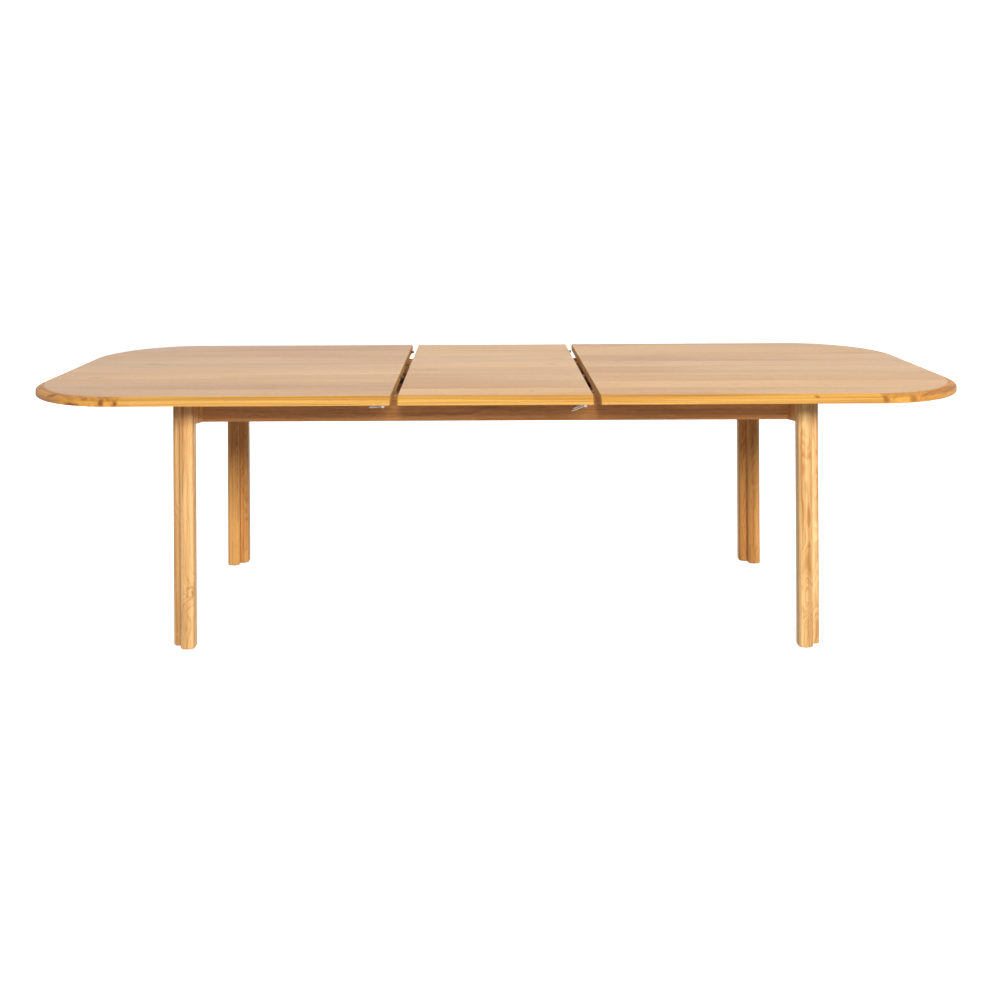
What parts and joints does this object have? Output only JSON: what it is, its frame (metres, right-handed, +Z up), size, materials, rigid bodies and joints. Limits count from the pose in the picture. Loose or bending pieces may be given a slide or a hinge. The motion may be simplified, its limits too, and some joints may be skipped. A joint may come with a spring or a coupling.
{
  "type": "extendable dining table",
  "caption": "Extendable oak dining table with rounded ends: sliding end tops, a loose centre leaf, double-lobed legs, grooved wooden slides, a rack-and-pinion link and wire clips.",
  "frame": {"origin": "on the floor, under the middle of the drawn-out table", "axes": "+X along the table, +Y towards its rear side, +Z up"},
  "size_m": [2.744, 1, 0.75],
  "materials": {
    "top_oak": "oiled oak, planed flat, grain along the table",
    "lipping_oak": "oiled solid oak, grain along the edge",
    "leg_oak": "oiled solid oak, upright grain",
    "block_oak": "oiled solid oak, upright grain",
    "apron_oak": "oiled solid oak, grain along the apron",
    "inner_beech": "planed beech, waxed",
    "dowel_beech": "fluted beech dowel",
    "gear_nylon": "moulded nylon, matt",
    "zinc_steel": "zinc plated steel",
    "clip_wire": "bright plated spring wire",
    "glide_plastic": "moulded plastic glide, matt",
    "pad_felt": "pressed wool felt"
  },
  "bodies": {
    "frame": {"apron_front": "apron_oak", "apron_left_end": "apron_oak", "apron_rear": "apron_oak", "apron_right_end": "apron_oak", "corner_block_front_left": "block_oak", "corner_block_front_right": "block_oak", "corner_block_rear_left": "block_oak", "corner_block_rear_right": "block_oak", "corner_brackets": "zinc_steel", "cross_rail_left": "inner_beech", "cross_rail_middle": "inner_beech", "cross_rail_right": "inner_beech", "foot_glides": "glide_plastic", "frame_screws": "zinc_steel", "gear_plate": "zinc_steel", "guide_front": "inner_beech", "guide_rear": "inner_beech", "leaf_pads": "pad_felt", "leg_bolts": "zinc_steel", "leg_front_left": "leg_oak", "leg_front_right": "leg_oak", "leg_rear_left": "leg_oak", "leg_rear_right": "leg_oak", "pinion_axle": "zinc_steel", "stop_blocks": "inner_beech"},
    "left_top": {"left_battens": "inner_beech", "left_clip_plates": "zinc_steel", "left_dowels": "dowel_beech", "left_field_board": "top_oak", "left_lipping_end": "lipping_oak", "left_lipping_front": "lipping_oak", "left_lipping_front_corner": "lipping_oak", "left_lipping_rear": "lipping_oak", "left_lipping_rear_corner": "lipping_oak", "left_rack": "gear_nylon", "left_runners": "inner_beech", "left_screws": "zinc_steel"},
    "right_top": {"right_battens": "inner_beech", "right_catches": "zinc_steel", "right_field_board": "top_oak", "right_lipping_end": "lipping_oak", "right_lipping_front": "lipping_oak", "right_lipping_front_corner": "lipping_oak", "right_lipping_rear": "lipping_oak", "right_lipping_rear_corner": "lipping_oak", "right_rack": "gear_nylon", "right_runners": "inner_beech", "right_screws": "zinc_steel"},
    "leaf": {"leaf_catches": "zinc_steel", "leaf_clip_plates": "zinc_steel", "leaf_dowels": "dowel_beech", "leaf_field_board": "top_oak", "leaf_lipping_front": "lipping_oak", "leaf_lipping_rear": "lipping_oak", "leaf_screws": "zinc_steel"},
    "pinion": {"pinion": "gear_nylon"},
    "leaf_clip_front": {"leaf_clip_front": "clip_wire"},
    "leaf_clip_rear": {"leaf_clip_rear": "clip_wire"},
    "left_clip_front": {"left_clip_front": "clip_wire"},
    "left_clip_rear": {"left_clip_rear": "clip_wire"}
  },
  "joints": [
    {"name": "left_top_slide", "type": "slide", "parent": "frame", "child": "left_top", "axis": [1, 0, 0], "range_m": [0, 0.2918]},
    {"name": "right_top_slide", "type": "slide", "parent": "frame", "child": "right_top", "axis": [-1, 0, 0], "range_m": [0, 0.2918]},
    {"name": "leaf_lift", "type": "slide", "parent": "frame", "child": "leaf", "axis": [0, 0, 1], "range_m": [0, 0.5836]},
    {"name": "pinion_spin", "type": "hinge", "parent": "frame", "child": "pinion", "pos_m": [0, 0, 0.697], "axis": [0, 0, 1], "range_deg": [-560, 0]},
    {"name": "left_clip_front_swing", "type": "hinge", "parent": "left_top", "child": "left_clip_front", "pos_m": [-0.312, -0.46, 0.719], "axis": [0, -1, 0], "range_deg": [0, 171]},
    {"name": "left_clip_rear_swing", "type": "hinge", "parent": "left_top", "child": "left_clip_rear", "pos_m": [-0.312, 0.46, 0.719], "axis": [0, -1, 0], "range_deg": [0, 171]},
    {"name": "leaf_clip_front_swing", "type": "hinge", "parent": "leaf", "child": "leaf_clip_front", "pos_m": [0.25, -0.46, 0.719], "axis": [0, -1, 0], "range_deg": [0, 154]},
    {"name": "leaf_clip_rear_swing", "type": "hinge", "parent": "leaf", "child": "leaf_clip_rear", "pos_m": [0.25, 0.46, 0.719], "axis": [0, -1, 0], "range_deg": [0, 154]}
  ],
  "couplings": [
    {"joint": "right_top_slide", "follows": "left_top_slide", "ratio": 1},
    {"joint": "leaf_lift", "follows": "left_top_slide", "ratio": 2},
    {"joint": "pinion_spin", "follows": "left_top_slide", "rad_per_m": -33.333}
  ]
}
